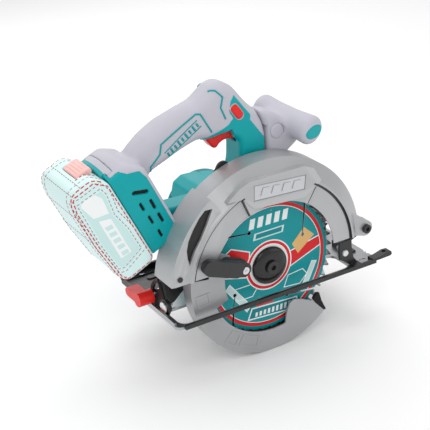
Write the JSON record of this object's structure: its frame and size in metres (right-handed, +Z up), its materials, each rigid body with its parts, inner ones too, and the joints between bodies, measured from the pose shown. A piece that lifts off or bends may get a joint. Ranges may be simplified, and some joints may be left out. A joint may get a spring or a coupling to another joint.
{
  "type": "cordless circular saw",
  "caption": "Hand-held circular saw with a blade under a bevelled cast guard, a tilting sheet base, a D-handle and a slide-on battery pack",
  "frame": {"origin": "on the underside of the base plate, at the middle of its width, straight below the blade's axis", "axes": "+X forward in the cutting direction, +Y towards the motor side, +Z up from the work"},
  "size_m": [0.3702, 0.157, 0.3036],
  "materials": {
    "plate_steel": "rolled sheet",
    "black_steel": "black powder coat",
    "dark_steel": "dark grey coat",
    "bolt_steel": "bright plated",
    "black_bolt": "blackened steel",
    "red_plastic": "moulded",
    "cast_grey": "painted casting",
    "cast_dark": "bare casting",
    "badge_silver": "satin plate",
    "black_plastic": "moulded",
    "rubber_black": "moulded",
    "lever_black": "black coat",
    "spring_steel": "wire",
    "blade_steel": "ground, printed face",
    "carbide": "ground",
    "gear_steel": "hobbed",
    "teal_plastic": "fine texture",
    "grip_grey": "soft overmould on a hard shell",
    "core_steel": "laminated",
    "winding_copper": "enamelled wire",
    "board_green": "coated board",
    "pack_pale": "pale",
    "cell_wrap": "wrapped cells, density of a lithium cell",
    "latch_pink": "moulded"
  },
  "bodies": {
    "base": {"base_plate": "plate_steel", "near_rail": "black_steel", "far_rail": "black_steel", "base_rivets": "bolt_steel", "rip_guide_clamp": "black_steel", "rear_bevel_bracket": "black_steel", "front_bevel_bracket": "black_steel", "front_side_plate": "black_steel", "bevel_pivot_bolts": "bolt_steel"},
    "tilt_frame": {"rear_tilt_bracket": "dark_steel", "front_tilt_bracket": "dark_steel", "depth_guide": "black_steel", "front_pivot_bolt": "black_bolt", "bevel_clamp_bolt": "bolt_steel"},
    "bevel_lock": {"bevel_lock_lever": "red_plastic"},
    "saw_body": {"upper_guard": "cast_grey", "guard_badge": "badge_silver", "dust_window_liner": "black_plastic", "guard_bumper": "rubber_black", "guard_screws": "black_bolt", "return_spring": "spring_steel", "gear_case": "cast_grey", "spindle_bearings": "gear_steel", "motor_housing": "teal_plastic", "motor_end_cap": "teal_plastic", "stator_core": "core_steel", "stator_windings": "winding_copper", "rotor_bearings": "gear_steel", "motor_screws": "black_bolt", "depth_clamp_bolt": "bolt_steel", "handle_left": "grip_grey", "handle_right": "grip_grey", "foot_left": "teal_plastic", "foot_right": "teal_plastic", "trigger_switch": "black_plastic", "handle_screws": "black_bolt", "front_handle": "grip_grey", "front_handle_caps": "teal_plastic", "control_board": "board_green", "terminal_block": "black_plastic"},
    "depth_lock": {"depth_lock_lever": "red_plastic"},
    "lower_guard": {"lower_guard": "cast_dark", "guard_lever": "lever_black", "guard_lever_screw": "bolt_steel"},
    "blade_set": {"blade": "blade_steel", "blade_tips": "carbide", "inner_flange": "gear_steel", "outer_flange": "black_bolt", "blade_bolt": "black_bolt", "spindle": "gear_steel", "driven_gear": "gear_steel"},
    "rotor": {"rotor_core": "core_steel", "rotor_shaft": "gear_steel", "cooling_fan": "black_plastic"},
    "spindle_lock": {"spindle_lock_button": "black_plastic"},
    "trigger": {"trigger": "red_plastic"},
    "lock_off": {"lock_off_button": "red_plastic"},
    "battery": {"battery_case": "pack_pale", "battery_cells": "cell_wrap"},
    "latch": {"battery_latch": "latch_pink"}
  },
  "joints": [
    {"name": "bevel_tilt", "type": "hinge", "parent": "base", "child": "tilt_frame", "pos_m": [0, -0.03, 0.01], "axis": [1, 0, 0], "range_deg": [0, 45]},
    {"name": "bevel_lock_turn", "type": "hinge", "parent": "tilt_frame", "child": "bevel_lock", "pos_m": [-0.13, -0.00652, 0.01448], "axis": [1, 0, 0], "range_deg": [0, 60]},
    {"name": "depth_pivot", "type": "hinge", "parent": "tilt_frame", "child": "saw_body", "pos_m": [0.1245, -0.05, 0.04], "axis": [0, 1, 0], "range_deg": [0, 24]},
    {"name": "depth_lock_turn", "type": "hinge", "parent": "saw_body", "child": "depth_lock", "pos_m": [-0.06432, -0.012, 0.06118], "axis": [0, 1, 0], "range_deg": [0, 40]},
    {"name": "lower_guard_swing", "type": "hinge", "parent": "saw_body", "child": "lower_guard", "pos_m": [0, -0.047, 0.03], "axis": [0, 1, 0], "range_deg": [0, 130], "stiffness_Nm_per_rad": 0.12, "springref_deg": -57.3},
    {"name": "spindle_spin", "type": "hinge", "parent": "saw_body", "child": "blade_set", "pos_m": [0, -0.047, 0.03], "axis": [0, 1, 0], "continuous": true},
    {"name": "rotor_spin", "type": "hinge", "parent": "saw_body", "child": "rotor", "pos_m": [-0.01104, 0.03, 0.05789], "axis": [0, 1, 0], "continuous": true},
    {"name": "spindle_lock_push", "type": "slide", "parent": "saw_body", "child": "spindle_lock", "axis": [-1, 0, 0], "range_m": [0, 0.004], "stiffness_N_per_m": 600, "springref_m": -0.002},
    {"name": "trigger_pull", "type": "slide", "parent": "saw_body", "child": "trigger", "axis": [-0.5478, 0, 0.8366], "range_m": [0, 0.006], "stiffness_N_per_m": 700, "springref_m": -0.002},
    {"name": "lock_off_push", "type": "slide", "parent": "saw_body", "child": "lock_off", "axis": [0, 1, 0], "range_m": [0, 0.004], "stiffness_N_per_m": 500, "springref_m": -0.002},
    {"name": "battery_slide", "type": "slide", "parent": "saw_body", "child": "battery", "axis": [-0.4226, 0, 0.9063], "range_m": [0, 0.09]},
    {"name": "latch_press", "type": "slide", "parent": "battery", "child": "latch", "axis": [0.4226, 0, -0.9063], "range_m": [0, 0.003], "stiffness_N_per_m": 500, "springref_m": -0.002}
  ],
  "couplings": [
    {"joint": "rotor_spin", "follows": "spindle_spin", "ratio": -2.75}
  ]
}
